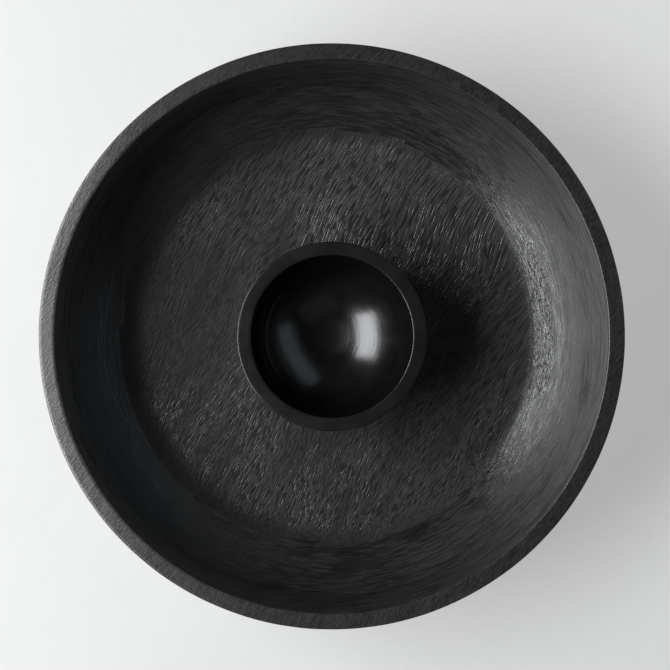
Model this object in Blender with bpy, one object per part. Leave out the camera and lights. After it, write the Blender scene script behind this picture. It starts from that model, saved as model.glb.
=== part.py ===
"""A carved wooden serving bowl with a lift-out dip bowl seated in the middle of its floor.

Units are metres, +Z is up. The origin is the centre of the table plane that the base pads
stand on. Both bowls are turned about the Z axis, and the dip bowl lifts straight up along it.
A profile is a list of (radius, height) points that is spun once around that axis.
"""

from math import cos, pi, radians, sin, tan

import bmesh
import bpy

TOUCH_GAP = 0.0003
ARRIS = 0.0008
ARRIS_STEPS = 3
SHARP_ANGLE = radians(35)

# Serving bowl: one carved block with a slightly dished floor, a cove and a nearly upright wall
BOWL_RADIUS = 0.190
BOWL_RIM_WIDTH = 0.0108
BOWL_TOP = 0.100
BOWL_FLOOR = 0.0185
BOWL_DISH_START = 0.046
BOWL_DISH_SLOPE = radians(3)
BOWL_FLOOR_RADIUS = 0.130
BOWL_COVE_CURVE = 0.065
BOWL_COVE_SLOPE = radians(30)
BOWL_BELLY = 0.006
BOWL_BELLY_RADIUS = 0.138
BOWL_INNER_WALL_SLOPE = radians(86)
BOWL_OUTER_WALL_SLOPE = radians(87.5)
BOWL_DISH_STEPS = 3
BOWL_COVE_STEPS = 5
BOWL_CURVE_STEPS = 8
BOWL_SEGMENTS = 80

# Foot ring turned under the serving bowl, hollowed in the middle
FOOT_OUTER_RADIUS = 0.118
FOOT_INNER_RADIUS = 0.096
FOOT_HOLLOW = 0.003

# Felt pads stuck to the foot ring
PAD_COUNT = 4
PAD_RADIUS = 0.008
PAD_THICKNESS = 0.0016
PAD_CIRCLE_RADIUS = 0.107
PAD_FIRST_ANGLE = radians(45)
PAD_SEGMENTS = 24
PAD_SOFT_EDGE = 0.0003

# Dip bowl: one turned block whose foot drops into a shallow seat
DIP_RADIUS = 0.0625
DIP_RIM_WIDTH = 0.009
DIP_HEIGHT = 0.065
DIP_FLOOR_THICKNESS = 0.010
DIP_FLOOR_CURVE = 0.068
DIP_FLOOR_SLOPE = radians(40)
DIP_FOOT_RADIUS = 0.034
DIP_FOOT_HEIGHT = 0.003
DIP_BELLY_SLOPE = radians(35)
DIP_WALL_SLOPE = radians(87)
DIP_CURVE_STEPS = 9
DIP_SEGMENTS = 56

# Felt disc stuck under the dip bowl's foot, and the seat cut for that foot
DIP_PAD_RADIUS = 0.030
DIP_PAD_THICKNESS = 0.0012
SEAT_DEPTH = 0.004
SEAT_CLEARANCE = 0.0007

FOOT_BOTTOM = PAD_THICKNESS + TOUCH_GAP
SEAT_FLOOR = BOWL_FLOOR - SEAT_DEPTH
DIP_PAD_BOTTOM = SEAT_FLOOR + TOUCH_GAP
DIP_BOTTOM = DIP_PAD_BOTTOM + DIP_PAD_THICKNESS + TOUCH_GAP


def clear_scene():
    for thing in list(bpy.data.objects):
        bpy.data.objects.remove(thing, do_unlink=True)


def material(name, colour, roughness, metallic=0.0):
    made = bpy.data.materials.new(name)
    made.use_nodes = True
    shader = made.node_tree.nodes["Principled BSDF"]
    shader.inputs["Base Color"].default_value = (*colour, 1.0)
    shader.inputs["Roughness"].default_value = roughness
    shader.inputs["Metallic"].default_value = metallic
    made.diffuse_color = (*colour, 1.0)
    return made


def slope_arc(start, radius, slope_from, slope_to, steps):
    """An arc from start that rises outwards, steepening from one slope to the other."""
    centre_r = start[0] - radius * sin(slope_from)
    centre_z = start[1] + radius * cos(slope_from)
    points = []
    for step in range(steps + 1):
        slope = slope_from + (slope_to - slope_from) * step / steps
        points.append((centre_r + radius * sin(slope), centre_z - radius * cos(slope)))
    return points


def wall_curve(start, lip, slope_from, slope_to, steps):
    """An arc from start whose far end is tangent to a straight wall that runs up to the lip."""
    run = lip[0] - start[0] - (lip[1] - start[1]) / tan(slope_to)
    run_per_radius = sin(slope_to) - sin(slope_from)
    rise_per_radius = cos(slope_from) - cos(slope_to)
    radius = run / (run_per_radius - rise_per_radius / tan(slope_to))
    return slope_arc(start, radius, slope_from, slope_to, steps) + [lip]


def flat_rim(inner_radius, outer_radius, top):
    """A level rim between its inner and outer lips, each broken by a small rounded arris."""
    points = []
    for step in range(1, ARRIS_STEPS + 1):
        turn = pi / 2 * step / ARRIS_STEPS
        across = ARRIS * (1 - cos(turn))
        points.append((inner_radius + across, top - ARRIS + ARRIS * sin(turn)))
    for step in range(ARRIS_STEPS):
        turn = pi / 2 * step / ARRIS_STEPS
        across = ARRIS * (1 - sin(turn))
        points.append((outer_radius - across, top - ARRIS + ARRIS * cos(turn)))
    return points


def turned_solid(name, profile, segments, finish):
    """Spins a profile, whose two ends lie on the Z axis, into one closed body."""
    mesh = bpy.data.meshes.new(name)
    build = bmesh.new()
    points = [build.verts.new((radius, 0.0, height)) for radius, height in profile]
    edges = [build.edges.new(pair) for pair in zip(points, points[1:])]
    bmesh.ops.spin(
        build,
        geom=points + edges,
        cent=(0, 0, 0),
        axis=(0, 0, 1),
        angle=2 * pi,
        steps=segments,
        use_duplicate=False,
    )
    bmesh.ops.remove_doubles(build, verts=build.verts, dist=0.000001)
    bmesh.ops.recalc_face_normals(build, faces=build.faces)
    build.to_mesh(mesh)
    build.free()
    mesh.materials.append(finish)
    mesh.shade_smooth()
    mesh.set_sharp_from_angle(angle=SHARP_ANGLE)
    solid = bpy.data.objects.new(name, mesh)
    bpy.context.collection.objects.link(solid)
    return solid


def serving_bowl(finish):
    inner_lip = BOWL_RADIUS - BOWL_RIM_WIDTH
    seat_radius = DIP_FOOT_RADIUS + SEAT_CLEARANCE
    seat = [
        (0, SEAT_FLOOR),
        (seat_radius, SEAT_FLOOR),
        (seat_radius, BOWL_FLOOR - ARRIS),
        (seat_radius + ARRIS, BOWL_FLOOR),
    ]
    dish_curve = (BOWL_FLOOR_RADIUS - BOWL_DISH_START) / sin(BOWL_DISH_SLOPE)
    dish_start = (BOWL_DISH_START, BOWL_FLOOR)
    dish = slope_arc(dish_start, dish_curve, 0, BOWL_DISH_SLOPE, BOWL_DISH_STEPS)
    cove = slope_arc(dish[-1], BOWL_COVE_CURVE, BOWL_DISH_SLOPE, BOWL_COVE_SLOPE, BOWL_COVE_STEPS)
    wall = wall_curve(
        cove[-1],
        (inner_lip, BOWL_TOP - ARRIS),
        BOWL_COVE_SLOPE,
        BOWL_INNER_WALL_SLOPE,
        BOWL_CURVE_STEPS,
    )
    outside = wall_curve(
        (BOWL_BELLY_RADIUS, BOWL_BELLY),
        (BOWL_RADIUS, BOWL_TOP - ARRIS),
        0,
        BOWL_OUTER_WALL_SLOPE,
        BOWL_CURVE_STEPS,
    )
    foot = [
        (FOOT_OUTER_RADIUS, BOWL_BELLY),
        (FOOT_OUTER_RADIUS, FOOT_BOTTOM + ARRIS),
        (FOOT_OUTER_RADIUS - ARRIS, FOOT_BOTTOM),
        (FOOT_INNER_RADIUS, FOOT_BOTTOM),
        (FOOT_INNER_RADIUS - FOOT_HOLLOW, FOOT_BOTTOM + FOOT_HOLLOW),
        (0, FOOT_BOTTOM + FOOT_HOLLOW),
    ]
    rim = flat_rim(inner_lip, BOWL_RADIUS, BOWL_TOP)
    profile = seat + dish + cove[1:] + wall[1:] + rim + outside[::-1] + foot
    return turned_solid("serving_bowl", profile, BOWL_SEGMENTS, finish)


def dip_bowl(finish):
    """Its own origin is the middle of the underside of its foot, on the lift axis."""
    inner_lip = DIP_RADIUS - DIP_RIM_WIDTH
    centre = (0, DIP_FLOOR_THICKNESS)
    floor = slope_arc(centre, DIP_FLOOR_CURVE, 0, DIP_FLOOR_SLOPE, DIP_CURVE_STEPS)
    inside = wall_curve(
        floor[-1],
        (inner_lip, DIP_HEIGHT - ARRIS),
        DIP_FLOOR_SLOPE,
        DIP_WALL_SLOPE,
        DIP_CURVE_STEPS,
    )
    outside = wall_curve(
        (DIP_FOOT_RADIUS, DIP_FOOT_HEIGHT),
        (DIP_RADIUS, DIP_HEIGHT - ARRIS),
        DIP_BELLY_SLOPE,
        DIP_WALL_SLOPE,
        DIP_CURVE_STEPS,
    )
    foot = [
        (DIP_FOOT_RADIUS, ARRIS),
        (DIP_FOOT_RADIUS - ARRIS, 0),
        (0, 0),
    ]
    rim = flat_rim(inner_lip, DIP_RADIUS, DIP_HEIGHT)
    profile = floor[:-1] + inside + rim + outside[::-1] + foot
    bowl = turned_solid("dip_bowl", profile, DIP_SEGMENTS, finish)
    bowl.location.z = DIP_BOTTOM
    return bowl


def felt_disc(name, radius, thickness, finish):
    profile = [
        (0, thickness),
        (radius - PAD_SOFT_EDGE, thickness),
        (radius, thickness - PAD_SOFT_EDGE),
        (radius, PAD_SOFT_EDGE),
        (radius - PAD_SOFT_EDGE, 0),
        (0, 0),
    ]
    return turned_solid(name, profile, PAD_SEGMENTS, finish)


def main():
    clear_scene()
    stained_wood = material("stained_wood", (0.020, 0.019, 0.020), 0.48)
    lacquered_wood = material("lacquered_wood", (0.008, 0.008, 0.008), 0.24)
    felt = material("felt", (0.030, 0.029, 0.028), 0.95)

    bowl = serving_bowl(stained_wood)
    for number in range(PAD_COUNT):
        angle = PAD_FIRST_ANGLE + 2 * pi * number / PAD_COUNT
        pad = felt_disc(f"base_pad_{number + 1}", PAD_RADIUS, PAD_THICKNESS, felt)
        pad.location = (PAD_CIRCLE_RADIUS * cos(angle), PAD_CIRCLE_RADIUS * sin(angle), 0)
        pad.parent = bowl

    dip = dip_bowl(lacquered_wood)
    dip_pad = felt_disc("dip_bowl_pad", DIP_PAD_RADIUS, DIP_PAD_THICKNESS, felt)
    dip_pad.location.z = DIP_PAD_BOTTOM - DIP_BOTTOM
    dip_pad.parent = dip
    bpy.context.view_layer.update()


main()
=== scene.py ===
"""The looks of a black-stained carved serving bowl with a lacquered dip bowl in its middle.

Units are metres, +Z is up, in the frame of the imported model. Both bowls are turned about the Z
axis: a profile is a list of (radius, height) points, spun round that axis. Each turned mesh gets
its slight unevenness by moving its vertices along their normals. Strokes, grooves and torn grain
come from the materials.
"""

from math import cos, hypot, pi, radians, sin, tan

import bpy
import numpy as np
from mathutils import Matrix, Vector, noise


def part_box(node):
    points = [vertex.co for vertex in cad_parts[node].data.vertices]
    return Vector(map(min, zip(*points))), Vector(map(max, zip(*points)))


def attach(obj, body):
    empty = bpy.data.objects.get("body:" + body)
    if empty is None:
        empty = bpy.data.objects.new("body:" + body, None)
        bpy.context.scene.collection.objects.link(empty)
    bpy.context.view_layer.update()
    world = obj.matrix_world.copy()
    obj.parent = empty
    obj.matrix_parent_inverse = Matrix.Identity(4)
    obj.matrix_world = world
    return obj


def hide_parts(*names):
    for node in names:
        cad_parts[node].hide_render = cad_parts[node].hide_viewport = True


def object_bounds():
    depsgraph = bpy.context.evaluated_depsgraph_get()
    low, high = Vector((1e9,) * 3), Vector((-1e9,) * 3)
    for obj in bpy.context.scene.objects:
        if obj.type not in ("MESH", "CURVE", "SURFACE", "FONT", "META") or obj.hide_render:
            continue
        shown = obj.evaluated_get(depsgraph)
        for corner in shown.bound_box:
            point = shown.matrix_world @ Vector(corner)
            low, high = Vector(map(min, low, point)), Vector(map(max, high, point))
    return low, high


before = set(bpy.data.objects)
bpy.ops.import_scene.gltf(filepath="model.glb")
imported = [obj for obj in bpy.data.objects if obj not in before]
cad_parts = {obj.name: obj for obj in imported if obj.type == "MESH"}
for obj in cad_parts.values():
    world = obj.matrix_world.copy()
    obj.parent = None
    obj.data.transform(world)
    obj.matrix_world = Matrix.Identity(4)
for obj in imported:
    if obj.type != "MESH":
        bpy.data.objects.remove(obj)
cad_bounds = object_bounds()

# Serving bowl, as in the CAD
BOWL_RIM_WIDTH = 0.0108
BOWL_FLOOR = 0.0185
DISH_START = 0.046
DISH_SLOPE = radians(3)
BOWL_FLOOR_RADIUS = 0.130
COVE_CURVE = 0.065
COVE_SLOPE = radians(30)
BOWL_BELLY = 0.006
BOWL_BELLY_RADIUS = 0.138
BOWL_INNER_WALL_SLOPE = radians(86)
BOWL_OUTER_WALL_SLOPE = radians(87.5)
FOOT_OUTER_RADIUS = 0.118
FOOT_INNER_RADIUS = 0.096
FOOT_HOLLOW = 0.003
SEAT_RADIUS = 0.0347
SEAT_DEPTH = 0.004
BOWL_ARRIS = 0.0008
BOWL_SEGMENTS = 576

# Dip bowl, as in the CAD, with heights above the underside of its foot
DIP_RIM_WIDTH = 0.009
DIP_FLOOR_THICKNESS = 0.010
DIP_FLOOR_CURVE = 0.068
DIP_FLOOR_SLOPE = radians(40)
DIP_FOOT_RADIUS = 0.034
DIP_FOOT_HEIGHT = 0.003
DIP_BELLY_SLOPE = radians(35)
DIP_WALL_SLOPE = radians(87)
DIP_ARRIS = 0.0006
DIP_SEGMENTS = 320

ARRIS_STEPS = 3
SHARP_ANGLE = radians(35)
PAD_SOFT_EDGE = 0.0004
PAD_SEGMENTS = 72

# The wood's fibres: their heading seen from above, and how far they dip below level
GRAIN_HEADING = radians(58)
GRAIN_DIP = radians(6)

# The slight fall of the rim outwards
RIM_FALL = 0.0004

# Where the brushed floor gives way to the tooled wall: a circle set a little towards -X
FLOOR_EDGE = 0.1440
FLOOR_EDGE_SHIFT = 0.003
FLOOR_EDGE_WANDER = 0.0030

# Places on the serving bowl with a look of their own, one of them partly painted shade, and how far
# each reaches
TORN_GRAIN = (0.145, 0.014, 0.022)
TORN_GRAIN_REACH = 0.075
TORN_GRAIN_RADIUS = 0.1465
# The -X patch has fewer, fainter brush strokes, so it is darker: partly the smoother look of that
# stretch, partly painted shade under the shadow of the bowl's left wall
DULL_AND_SHADED_PATCH = (-0.112, 0.020, 0.020)
DULL_AND_SHADED_PATCH_REACH = 0.085
LIVELY_PATCH = (0.052, 0.095, 0.020)
LIVELY_PATCH_REACH = 0.115
WORN_PATCH = (0.155, 0.0, 0.020)
WORN_PATCH_REACH = 0.130

# How the grain of the serving bowl drifts aside
GRAIN_DRIFT_SCALE = 9.0
GRAIN_DRIFT_REACH = 0.036

# About the middle radius of the serving bowl's inner wall, for the length of the marks round it
WALL_RADIUS = 0.16

# Colours
WOOD_DARK = (0.0052, 0.0049, 0.0046, 1.0)
WOOD_LIGHT = (0.0086, 0.0081, 0.0076, 1.0)
WOOD_RAISED = (0.0300, 0.0284, 0.0268, 1.0)
WOOD_PORE = (0.0028, 0.0026, 0.0024, 1.0)
WINDOW_LIGHT = (0.96, 0.98, 1.0)
SKY_LIGHT = (0.80, 0.90, 1.0)

# Camera, above the bowl's rim
LENS = 85
SENSOR = 36
VIEW_WIDTH_AT_RIM = 0.4333
CAMERA_OFFSET = (0.0021, 0.0009)


# ---- Profiles: lists of (radius, height), each leaving out its own starting point ----


def line(start, end, steps):
    return [
        tuple(a + (b - a) * step / steps for a, b in zip(start, end))
        for step in range(1, steps + 1)
    ]


def slope_arc(start, radius, slope_from, slope_to, steps):
    """An arc that rises outwards from start, steepening from one slope to the other."""
    centre_r = start[0] - radius * sin(slope_from)
    centre_z = start[1] + radius * cos(slope_from)
    slopes = [slope_from + (slope_to - slope_from) * step / steps for step in range(1, steps + 1)]
    return [(centre_r + radius * sin(slope), centre_z - radius * cos(slope)) for slope in slopes]


def wall_curve(start, lip, slope_from, slope_to, arc_steps, wall_steps):
    """An arc from start that runs on into a straight wall, which rises to the lip."""
    run = lip[0] - start[0] - (lip[1] - start[1]) / tan(slope_to)
    run_per_radius = sin(slope_to) - sin(slope_from)
    rise_per_radius = cos(slope_from) - cos(slope_to)
    radius = run / (run_per_radius - rise_per_radius / tan(slope_to))
    arc = slope_arc(start, radius, slope_from, slope_to, arc_steps)
    return arc + line(arc[-1], lip, wall_steps)


def flat_rim(inner_radius, outer_radius, top, arris, steps):
    """A level rim from its inner arris to its outer arris, both rounded."""
    turns = [pi / 2 * step / ARRIS_STEPS for step in range(1, ARRIS_STEPS + 1)]
    inner = [(inner_radius + arris * (1 - cos(t)), top - arris + arris * sin(t)) for t in turns]
    outer = [(outer_radius - arris * (1 - cos(t)), top - arris + arris * sin(t)) for t in turns]
    return inner + line(inner[-1], outer[-1], steps) + outer[-2::-1]


def sloped(profile, start, end, fall):
    """Lowers each point by a share of fall that grows from radius start to radius end."""
    shares = [min(max((radius - start) / (end - start), 0.0), 1.0) for radius, height in profile]
    return [(radius, height - fall * share) for (radius, height), share in zip(profile, shares)]


# ---- Turned meshes ----


def outward_normals(profile):
    """The profile's own normals. A profile runs out along the inside and back underneath."""
    ahead = np.roll(profile, -1, axis=0)
    behind = np.roll(profile, 1, axis=0)
    ahead[-1] = profile[-1]
    behind[0] = profile[0]
    along = ahead - behind
    along /= np.linalg.norm(along, axis=1)[:, None]
    return np.column_stack([-along[:, 1], along[:, 0]])


def turned_piece(name, profile, segments, relief, base=0.0):
    """Spins the profile into a closed mesh and moves each vertex by relief along its normal.

    The profile's two ends lie on the axis. relief(place, normal) gives metres outwards.
    """
    profile = np.array(profile, dtype=float)
    normals = outward_normals(profile)
    rings = profile[1:-1]
    vertices = []
    for (radius, height), (normal_r, normal_z) in zip(rings, normals[1:-1]):
        for segment in range(segments):
            turn = 2 * pi * segment / segments
            across = Vector((cos(turn), sin(turn), 0.0))
            place = across * radius + Vector((0.0, 0.0, height + base))
            normal = across * normal_r + Vector((0.0, 0.0, normal_z))
            vertices.append(place + normal * relief(place, normal))
    first_pole = len(vertices)
    for height in (profile[0][1], profile[-1][1]):
        vertices.append(Vector((0.0, 0.0, height + base)))

    faces = []
    for segment in range(segments):
        following = (segment + 1) % segments
        faces.append((first_pole, segment, following))
        for ring in range(len(rings) - 1):
            near, far = ring * segments, (ring + 1) * segments
            faces.append((near + segment, far + segment, far + following, near + following))
        last = (len(rings) - 1) * segments
        faces.append((last + segment, first_pole + 1, last + following))

    mesh = bpy.data.meshes.new(name)
    mesh.from_pydata(vertices, [], faces)
    mesh.shade_smooth()
    mesh.set_sharp_from_angle(angle=SHARP_ANGLE)
    piece = bpy.data.objects.new(name, mesh)
    bpy.context.collection.objects.link(piece)
    return piece


GRAIN_TURN = Matrix.Rotation(GRAIN_DIP, 3, "Y") @ Matrix.Rotation(-GRAIN_HEADING, 3, "Z")


def fibre_noise(place, length, width):
    """Smooth noise that runs long along the fibres and short across them."""
    turned = GRAIN_TURN @ place
    return noise.noise(Vector((turned.x / length, turned.y / width, turned.z / width)))


def carved_relief(place, normal):
    """Hand-carved wandering, and broad swells that run along the fibres."""
    wander = noise.noise(place / 0.055)
    figure = fibre_noise(place, 0.060, 0.0110)
    return 0.00014 * (wander - 1) + 0.00006 * (figure - 1)


def turned_relief(place, normal):
    """The slight ripple of a smooth turned and lacquered surface."""
    ripple = noise.noise(Vector((place.x, place.y, place.z * 0.6)) / 0.016)
    return 0.00003 * (ripple - 1)


def felt_relief(place, normal):
    return 0.00006 * (noise.noise(place / 0.0018) - 1)


# ---- Materials ----


class Finish:
    """A node material built in plain calls."""

    def __init__(self, name):
        self.material = bpy.data.materials.new(name)
        self.material.use_nodes = True
        self.tree = self.material.node_tree
        self.shader = self.tree.nodes["Principled BSDF"]
        self.place = self.node("ShaderNodeTexCoord").outputs["Object"]

    def node(self, kind, **settings):
        made = self.tree.nodes.new(kind)
        for key, value in settings.items():
            setattr(made, key, value)
        return made

    def put(self, socket, value):
        """Links an output to an input, or sets the input to a plain value."""
        if isinstance(value, bpy.types.NodeSocket):
            self.tree.links.new(value, socket)
        else:
            socket.default_value = value

    def set(self, name, value):
        self.put(self.shader.inputs[name], value)

    def vector(self, operation, first, second=None, third=None):
        made = self.node("ShaderNodeVectorMath", operation=operation)
        for socket, value in zip(made.inputs, (first, second, third)):
            if value is not None:
                self.put(socket, value)
        return made.outputs["Value" if operation in ("DISTANCE", "LENGTH") else "Vector"]

    def drifted(self, scale, reach):
        """Coordinates that wander by up to about half of reach, so that the grain curves."""
        drift = self.noise(self.place, scale=scale, detail=1.0, output="Color")
        centred = self.vector("SUBTRACT", drift, (0.5, 0.5, 0.5))
        return self.vector("MULTIPLY_ADD", centred, (reach, reach, 0.0), self.place)

    def stretched(self, place, length, width):
        """Coordinates in the grain's own frame, one unit long for each feature."""
        mapping = self.node("ShaderNodeMapping", vector_type="TEXTURE")
        self.put(mapping.inputs["Vector"], place)
        self.put(mapping.inputs["Rotation"], (0.0, -GRAIN_DIP, GRAIN_HEADING))
        self.put(mapping.inputs["Scale"], (length, width, width))
        return mapping.outputs["Vector"]

    def off_axis(self):
        """Metres from the Z axis."""
        return self.vector("LENGTH", self.vector("MULTIPLY", self.place, (1.0, 1.0, 0.0)))

    def around(self, radius, length, width):
        """Coordinates that run round the Z axis, for marks left by turning and sanding."""
        split = self.node("ShaderNodeSeparateXYZ")
        self.put(split.inputs["Vector"], self.place)
        level = self.vector("MULTIPLY", self.place, (1.0, 1.0, 0.0))
        out = self.vector("LENGTH", level)
        heading = self.vector("NORMALIZE", level)
        turns = self.vector("MULTIPLY", heading, (radius / length, radius / length, 0.0))
        across = self.math("MULTIPLY", self.math("ADD", out, split.outputs["Z"]), 1 / width)
        lift = self.node("ShaderNodeCombineXYZ")
        self.put(lift.inputs["Z"], across)
        return self.vector("ADD", turns, lift.outputs["Vector"])

    def upward(self):
        """1 where the surface faces straight up, 0 on a wall."""
        split = self.node("ShaderNodeSeparateXYZ")
        self.put(split.inputs["Vector"], self.node("ShaderNodeNewGeometry").outputs["Normal"])
        return split.outputs["Z"]

    def near(self, centre, reach):
        """1 at a place on the object, falling to 0 at reach from it."""
        away = self.vector("DISTANCE", self.place, centre)
        return self.spread(away, reach, reach * 0.35)

    def noise(self, place, scale=1.0, detail=0.0, roughness=0.5, output="Fac"):
        texture = self.node("ShaderNodeTexNoise")
        self.put(texture.inputs["Vector"], place)
        self.put(texture.inputs["Scale"], scale)
        self.put(texture.inputs["Detail"], detail)
        self.put(texture.inputs["Roughness"], roughness)
        return texture.outputs[output]

    def math(self, operation, first, second=0.0):
        made = self.node("ShaderNodeMath", operation=operation)
        self.put(made.inputs[0], first)
        self.put(made.inputs[1], second)
        return made.outputs["Value"]

    def spread(self, value, low, high, to_low=0.0, to_high=1.0):
        """Maps low to high smoothly onto to_low to to_high, held at its ends."""
        made = self.node("ShaderNodeMapRange", interpolation_type="SMOOTHSTEP")
        for name, setting in (
            ("Value", value),
            ("From Min", low),
            ("From Max", high),
            ("To Min", to_low),
            ("To Max", to_high),
        ):
            self.put(made.inputs[name], setting)
        return made.outputs["Result"]

    def mix(self, share, first, second):
        made = self.node("ShaderNodeMix", data_type="RGBA")
        self.put(made.inputs["Factor"], share)
        self.put(made.inputs["A"], first)
        self.put(made.inputs["B"], second)
        return made.outputs["Result"]

    def bump(self, height, depth, onto=None):
        """Raises the surface by height times depth, in metres."""
        made = self.node("ShaderNodeBump")
        self.put(made.inputs["Height"], height)
        self.put(made.inputs["Distance"], depth)
        self.put(made.inputs["Strength"], 1.0)
        if onto is not None:
            self.put(made.inputs["Normal"], onto)
        return made.outputs["Normal"]


def grey(value, warmth=0.0):
    """A near-neutral colour, warmer above 0 and cooler below."""
    return (value * (1 + warmth), value, value * (1 - warmth), 1.0)


def wood_tone(finish, curved, raised):
    """Black stain, a little paler where raised is 1."""
    figure = finish.noise(finish.stretched(curved, 0.110, 0.016), detail=2.0)
    tone = finish.mix(finish.spread(figure, 0.32, 0.68), WOOD_DARK, WOOD_LIGHT)
    return finish.mix(raised, tone, WOOD_RAISED)


def torn_pits(finish):
    """1 in the small pits where the grain tore, in one stretch of the cove on the +X side."""
    torn = finish.noise(finish.around(0.15, 0.0034, 0.0013), detail=2.0, roughness=0.7)
    away = finish.math("ABSOLUTE", finish.math("SUBTRACT", finish.off_axis(), TORN_GRAIN_RADIUS))
    band = finish.spread(away, 0.0095, 0.0050)
    place = finish.math("MULTIPLY", band, finish.near(TORN_GRAIN, TORN_GRAIN_REACH))
    return finish.math("MULTIPLY", finish.spread(torn, 0.46, 0.39), place)


def brushed_wood():
    """The floor of the serving bowl: short brush strokes that follow the fibres."""
    finish = Finish("brushed_wood_finish")
    curved = finish.drifted(GRAIN_DRIFT_SCALE, GRAIN_DRIFT_REACH)
    bands = finish.noise(finish.stretched(curved, 0.090, 0.009), detail=1.0)
    broad = finish.noise(finish.stretched(curved, 0.022, 0.0016), detail=1.0)
    fine = finish.noise(finish.stretched(curved, 0.0150, 0.00080), detail=0.5)

    dull_and_shaded = finish.near(DULL_AND_SHADED_PATCH, DULL_AND_SHADED_PATCH_REACH)
    lively = finish.near(LIVELY_PATCH, LIVELY_PATCH_REACH)
    edge = finish.spread(finish.off_axis(), 0.1460, 0.1280)
    brushed = finish.spread(bands, 0.32, 0.56, 0.60, 1.0)
    # Fainter strokes in the -X patch: partly its smoother look, partly painted shade under the left
    # wall's shadow
    brushed = finish.math("MULTIPLY", brushed, finish.spread(dull_and_shaded, 0.0, 1.0, 0.90, 0.50))
    brushed = finish.math("ADD", brushed, finish.math("MULTIPLY", lively, 0.50))
    brushed = finish.math("MULTIPLY", brushed, finish.spread(edge, 0.0, 1.0, 0.40, 1.0))
    streaks = finish.math("MULTIPLY", finish.spread(fine, 0.37, 0.63), brushed)
    ridges = finish.math("MULTIPLY", finish.spread(broad, 0.34, 0.66), brushed)
    pits = torn_pits(finish)

    tone = wood_tone(finish, curved, finish.math("MULTIPLY", streaks, 0.75))
    finish.set("Base Color", finish.mix(pits, tone, WOOD_PORE))
    # The gloss broadens towards the cove on the +X side, so that it meets the wall's without a step
    worn = finish.near(WORN_PATCH, WORN_PATCH_REACH)
    worn = finish.math("MULTIPLY", worn, finish.spread(finish.upward(), 0.998, 0.955))
    gloss = finish.spread(worn, 0.0, 1.0, 0.28, 0.48)
    finish.set("Roughness", finish.math("ADD", gloss, finish.math("MULTIPLY", pits, 0.4)))
    normal = finish.bump(ridges, 0.00003)
    normal = finish.bump(streaks, 0.00006, normal)
    finish.set("Normal", finish.bump(pits, -0.0002, normal))
    return finish.material


def tooled_wood():
    """The turned walls: fine grooves that run round them spread the gloss up and down."""
    finish = Finish("tooled_wood_finish")
    curved = finish.drifted(GRAIN_DRIFT_SCALE, GRAIN_DRIFT_REACH)
    stain = finish.noise(finish.around(WALL_RADIUS, 0.050, 0.011), detail=2.0, roughness=0.6)
    tooled = finish.noise(finish.around(WALL_RADIUS, 0.014, 0.0013), detail=2.0, roughness=0.6)
    pits = torn_pits(finish)

    grooved = finish.spread(tooled, 0.39, 0.62)
    smooth = finish.spread(stain, 0.50, 0.64)
    raised = finish.math("MULTIPLY", grooved, finish.spread(smooth, 0.0, 1.0, 0.34, 0.05))
    finish.set("Base Color", finish.mix(pits, wood_tone(finish, curved, raised), WOOD_PORE))
    gloss = finish.spread(finish.upward(), 0.96, 0.80, 0.30, 0.44)
    gloss = finish.math("ADD", gloss, finish.math("MULTIPLY", grooved, 0.18))
    gloss = finish.math("SUBTRACT", gloss, finish.math("MULTIPLY", smooth, 0.08))
    finish.set("Roughness", finish.math("ADD", gloss, finish.math("MULTIPLY", pits, 0.3)))
    finish.set("Specular IOR Level", 0.62)
    finish.set("Anisotropic", 0.9)
    finish.set("Anisotropic Rotation", 0.25)
    grooves = finish.node("ShaderNodeTangent", direction_type="RADIAL", axis="Z")
    finish.set("Tangent", grooves.outputs["Tangent"])
    normal = finish.bump(tooled, 0.00050)
    finish.set("Normal", finish.bump(pits, -0.0002, normal))
    return finish.material


def rim_wood():
    """The flat rim of the serving bowl, sanded along the fibres."""
    finish = Finish("sanded_wood_finish")
    curved = finish.drifted(GRAIN_DRIFT_SCALE, GRAIN_DRIFT_REACH)
    fine = finish.noise(finish.stretched(curved, 0.0060, 0.00090), detail=2.0, roughness=0.6)
    broad = finish.noise(finish.stretched(curved, 0.020, 0.0030), detail=2.0)
    streaks = finish.spread(fine, 0.35, 0.65)
    finish.set("Base Color", wood_tone(finish, curved, finish.math("MULTIPLY", streaks, 0.5)))
    finish.set("Roughness", finish.spread(broad, 0.3, 0.7, 0.28, 0.33))
    normal = finish.bump(broad, 0.00004)
    finish.set("Normal", finish.bump(streaks, 0.00003, normal))
    return finish.material


def lacquered_wood():
    finish = Finish("lacquered_wood_finish")
    cloud = finish.noise(finish.place, scale=60.0, detail=2.0)
    flat = finish.spread(finish.upward(), 0.97, 0.995)
    finish.set("Base Color", finish.mix(cloud, grey(0.0022, 0.1), grey(0.0040, 0.1)))
    finish.set("Specular IOR Level", 0.34)
    gloss = finish.spread(cloud, 0.35, 0.65, 0.19, 0.23)
    finish.set("Roughness", finish.math("ADD", gloss, finish.math("MULTIPLY", flat, 0.09)))
    ripple = finish.noise(finish.around(0.03, 0.012, 0.0022), detail=1.0)
    grain = finish.noise(finish.place, scale=900.0, detail=1.0)
    normal = finish.bump(ripple, 0.00005)
    finish.set("Normal", finish.bump(grain, 0.00002, normal))
    return finish.material


def pressed_felt():
    finish = Finish("pressed_felt_finish")
    fuzz = finish.noise(finish.place, scale=2600.0, detail=3.0, roughness=0.7)
    clumps = finish.noise(finish.place, scale=420.0, detail=2.0)
    tone = finish.mix(finish.spread(clumps, 0.3, 0.7), grey(0.018, 0.02), grey(0.040, 0.03))
    finish.set("Base Color", tone)
    finish.set("Roughness", 0.95)
    finish.set("Sheen Weight", 0.35)
    finish.set("Normal", finish.bump(fuzz, 0.00025))
    return finish.material


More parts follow.
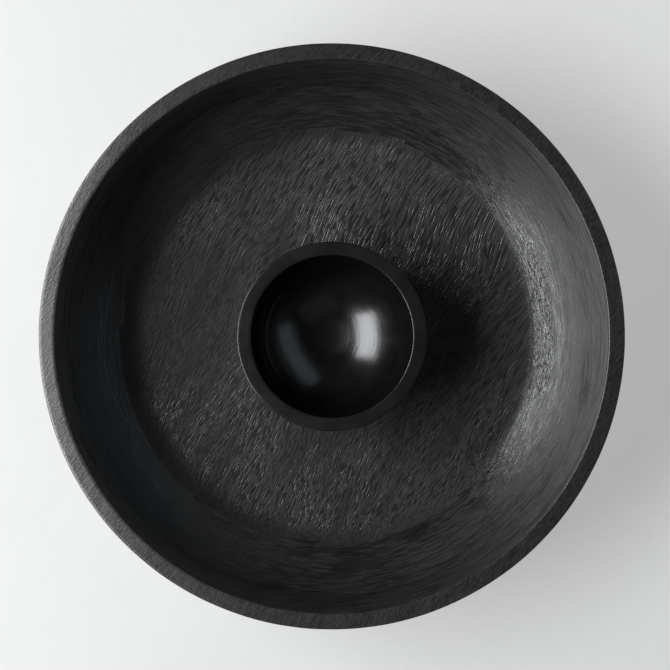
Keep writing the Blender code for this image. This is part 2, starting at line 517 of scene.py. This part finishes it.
def plaster():
    """Pale plaster. Its own faint glow stands for the light that a white room sends back."""
    finish = Finish("pale_plaster_finish")
    cloud = finish.noise(finish.place, scale=7.0, detail=4.0)
    finish.set("Base Color", finish.mix(cloud, grey(0.225, -0.004), grey(0.255, 0.004)))
    finish.set("Roughness", 0.9)
    finish.set("Specular IOR Level", 0.1)
    # Painted falloff: the glow is painted weaker towards +X and -Y, standing for the light fading
    # across the floor
    away = finish.node("ShaderNodeVectorMath", operation="DOT_PRODUCT")
    finish.put(away.inputs[0], finish.place)
    finish.put(away.inputs[1], (0.8, -0.6, 0.0))
    painted_falloff = finish.spread(away.outputs["Value"], -0.12, 0.36)
    glow = finish.mix(cloud, grey(0.97, 0.008), grey(1.0, 0.004))
    finish.set("Emission Color", finish.mix(painted_falloff, glow, grey(0.86)))
    finish.set("Emission Strength", 0.44)
    finish.set("Normal", finish.bump(finish.noise(finish.place, scale=60.0, detail=5.0), 0.0006))
    return finish.material


# ---- Pieces ----


def finish_of_bowl_face(centre, normal):
    """The slot of a face of the serving bowl: 0 on the brushed floor, 1 on the walls, 2 on the rim."""
    out = hypot(centre.x, centre.y)
    edge = FLOOR_EDGE - FLOOR_EDGE_SHIFT * centre.x / out
    edge += FLOOR_EDGE_WANDER * noise.noise(centre / 0.030)
    if normal.z > 0.5 and out < edge:
        return 0
    if normal.z > 0.9 and out > cad_bounds[1][0] - BOWL_RIM_WIDTH:
        return 2
    return 1


def serving_bowl(floor_finish, wall_finish, rim_finish):
    low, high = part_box("serving_bowl")
    radius, bottom, top = high[0], low[2], high[2]
    inner_lip = radius - BOWL_RIM_WIDTH
    seat_floor = BOWL_FLOOR - SEAT_DEPTH
    seat_edge = (SEAT_RADIUS, BOWL_FLOOR - BOWL_ARRIS)
    floor_start = (SEAT_RADIUS + BOWL_ARRIS, BOWL_FLOOR)
    profile = [(0.0, seat_floor)]
    profile += line(profile[-1], (SEAT_RADIUS, seat_floor), 5)
    profile += line(profile[-1], seat_edge, 2)
    profile += [floor_start]
    profile += line(profile[-1], (DISH_START, BOWL_FLOOR), 3)
    dish_curve = (BOWL_FLOOR_RADIUS - DISH_START) / sin(DISH_SLOPE)
    profile += slope_arc(profile[-1], dish_curve, 0, DISH_SLOPE, 34)
    profile += slope_arc(profile[-1], COVE_CURVE, DISH_SLOPE, COVE_SLOPE, 14)
    lip = (inner_lip, top - BOWL_ARRIS)
    profile += wall_curve(profile[-1], lip, COVE_SLOPE, BOWL_INNER_WALL_SLOPE, 24, 18)
    rim = flat_rim(inner_lip, radius, top, BOWL_ARRIS, 6)
    profile += sloped(rim, inner_lip + BOWL_ARRIS, radius - BOWL_ARRIS, RIM_FALL)
    belly = (BOWL_BELLY_RADIUS, BOWL_BELLY)
    outer_lip = (radius, top - BOWL_ARRIS - RIM_FALL)
    outside = wall_curve(belly, outer_lip, 0, BOWL_OUTER_WALL_SLOPE, 20, 14)
    profile += outside[::-1] + [belly]
    profile += line(profile[-1], (FOOT_OUTER_RADIUS, BOWL_BELLY), 4)
    profile += line(profile[-1], (FOOT_OUTER_RADIUS, bottom + BOWL_ARRIS), 2)
    profile += [(FOOT_OUTER_RADIUS - BOWL_ARRIS, bottom)]
    profile += line(profile[-1], (FOOT_INNER_RADIUS, bottom), 3)
    hollow = bottom + FOOT_HOLLOW
    profile += line(profile[-1], (FOOT_INNER_RADIUS - FOOT_HOLLOW, hollow), 2)
    profile += line(profile[-1], (0.0, hollow), 8)
    piece = turned_piece("carved_serving_bowl", profile, BOWL_SEGMENTS, carved_relief)
    for finish in (floor_finish, wall_finish, rim_finish):
        piece.data.materials.append(finish)
    for face in piece.data.polygons:
        face.material_index = finish_of_bowl_face(face.center, face.normal)
    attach(piece, "serving_bowl")
    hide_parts("serving_bowl")


def dip_bowl(finish):
    low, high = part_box("dip_bowl")
    radius, height = high[0], high[2] - low[2]
    inner_lip = radius - DIP_RIM_WIDTH
    profile = [(0.0, DIP_FLOOR_THICKNESS)]
    profile += slope_arc(profile[-1], DIP_FLOOR_CURVE, 0, DIP_FLOOR_SLOPE, 28)
    lip = (inner_lip, height - DIP_ARRIS)
    profile += wall_curve(profile[-1], lip, DIP_FLOOR_SLOPE, DIP_WALL_SLOPE, 24, 8)
    profile += flat_rim(inner_lip, radius, height, DIP_ARRIS, 6)
    foot = (DIP_FOOT_RADIUS, DIP_FOOT_HEIGHT)
    outer_lip = (radius, height - DIP_ARRIS)
    outside = wall_curve(foot, outer_lip, DIP_BELLY_SLOPE, DIP_WALL_SLOPE, 28, 6)
    profile += outside[::-1] + [foot]
    profile += line(profile[-1], (DIP_FOOT_RADIUS, DIP_ARRIS), 2)
    profile += [(DIP_FOOT_RADIUS - DIP_ARRIS, 0.0)]
    profile += line(profile[-1], (0.0, 0.0), 8)
    piece = turned_piece("turned_dip_bowl", profile, DIP_SEGMENTS, turned_relief, base=low[2])
    piece.data.materials.append(finish)
    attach(piece, "dip_bowl")
    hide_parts("dip_bowl")


def felt_disc(name, node, body, finish):
    low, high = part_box(node)
    centre = (Vector(low) + Vector(high)) / 2
    radius, thickness = (high[0] - low[0]) / 2, high[2] - low[2]
    soft = PAD_SOFT_EDGE
    profile = [(0.0, thickness)]
    profile += line(profile[-1], (radius - soft, thickness), 12)
    profile += [(radius - soft * 0.3, thickness - soft * 0.3), (radius, thickness - soft)]
    profile += line(profile[-1], (radius, soft), 2)
    profile += [(radius - soft * 0.3, soft * 0.3), (radius - soft, 0.0)]
    profile += line(profile[-1], (0.0, 0.0), 12)
    piece = turned_piece(name, profile, PAD_SEGMENTS, felt_relief)
    piece.data.transform(Matrix.Translation((centre.x, centre.y, low[2])))
    piece.data.materials.append(finish)
    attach(piece, body)
    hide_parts(node)


# ---- Stage, light and camera ----


def stage(finish):
    mesh = bpy.data.meshes.new("floor")
    reach = 6.0
    corners = [(-reach, -reach, 0), (reach, -reach, 0), (reach, reach, 0), (-reach, reach, 0)]
    mesh.from_pydata(corners, [], [(0, 1, 2, 3)])
    mesh.materials.append(finish)
    floor = bpy.data.objects.new("floor", mesh)
    bpy.context.collection.objects.link(floor)


def soft_light(name, heading, height, reach, size, power, colour):
    """A soft light of size (level, upright) at a heading and height in degrees, facing the bowl."""
    turn, lift = radians(heading), radians(height)
    away = Vector((cos(lift) * cos(turn), cos(lift) * sin(turn), sin(lift)))
    lamp = bpy.data.lights.new(name, "AREA")
    lamp.shape = "RECTANGLE"
    lamp.size, lamp.size_y = size
    lamp.energy = power
    lamp.color = colour
    light = bpy.data.objects.new(name, lamp)
    light.location = away * reach + Vector((0.0, 0.0, BOWL_FLOOR))
    light.rotation_mode = "QUATERNION"
    light.rotation_quaternion = away.to_track_quat("Z", "Y")
    light.visible_camera = False
    bpy.context.collection.objects.link(light)


def surroundings(levels):
    """A grey room. levels lists (sine of the height above level, brightness), from low to high."""
    world = bpy.data.worlds.new("studio")
    world.use_nodes = True
    tree = world.node_tree
    direction = tree.nodes.new("ShaderNodeTexCoord")
    split = tree.nodes.new("ShaderNodeSeparateXYZ")
    ramp = tree.nodes.new("ShaderNodeValToRGB")
    stops = ramp.color_ramp.elements
    while len(stops) < len(levels):
        stops.new(0.5)
    for stop, (height, brightness) in zip(stops, levels):
        stop.position = height
        stop.color = (brightness, brightness, brightness, 1.0)
    tree.links.new(direction.outputs["Generated"], split.inputs["Vector"])
    tree.links.new(split.outputs["Z"], ramp.inputs["Fac"])
    tree.links.new(ramp.outputs["Color"], tree.nodes["Background"].inputs["Color"])
    tree.nodes["Background"].inputs["Strength"].default_value = 1.0
    bpy.context.scene.world = world


def camera():
    data = bpy.data.cameras.new("camera")
    data.lens = LENS
    data.sensor_width = SENSOR
    view = bpy.data.objects.new("camera", data)
    above_rim = VIEW_WIDTH_AT_RIM * LENS / SENSOR
    view.location = (*CAMERA_OFFSET, cad_bounds[1][2] + above_rim)
    bpy.context.collection.objects.link(view)
    bpy.context.scene.camera = view


felt = pressed_felt()
serving_bowl(brushed_wood(), tooled_wood(), rim_wood())
dip_bowl(lacquered_wood())
felt_disc("felt_under_dip_bowl", "dip_bowl_pad", "dip_bowl", felt)
for number in range(1, 5):
    felt_disc(f"felt_foot_{number}", f"base_pad_{number}", "serving_bowl", felt)
stage(plaster())
soft_light("window", 182, 50, 1.40, (1.2, 0.58), 42.0, WINDOW_LIGHT)
soft_light("fill", -64, 54, 1.25, (0.86, 0.53), 0.3, WINDOW_LIGHT)
soft_light("far_wall", 28, 42, 1.80, (2.4, 0.6), 5.2, SKY_LIGHT)
surroundings([(0.0, 0.80), (0.14, 0.55), (0.24, 0.14), (0.50, 0.10), (0.87, 0.04)])
bpy.context.scene.view_settings.view_transform = "Standard"
camera()
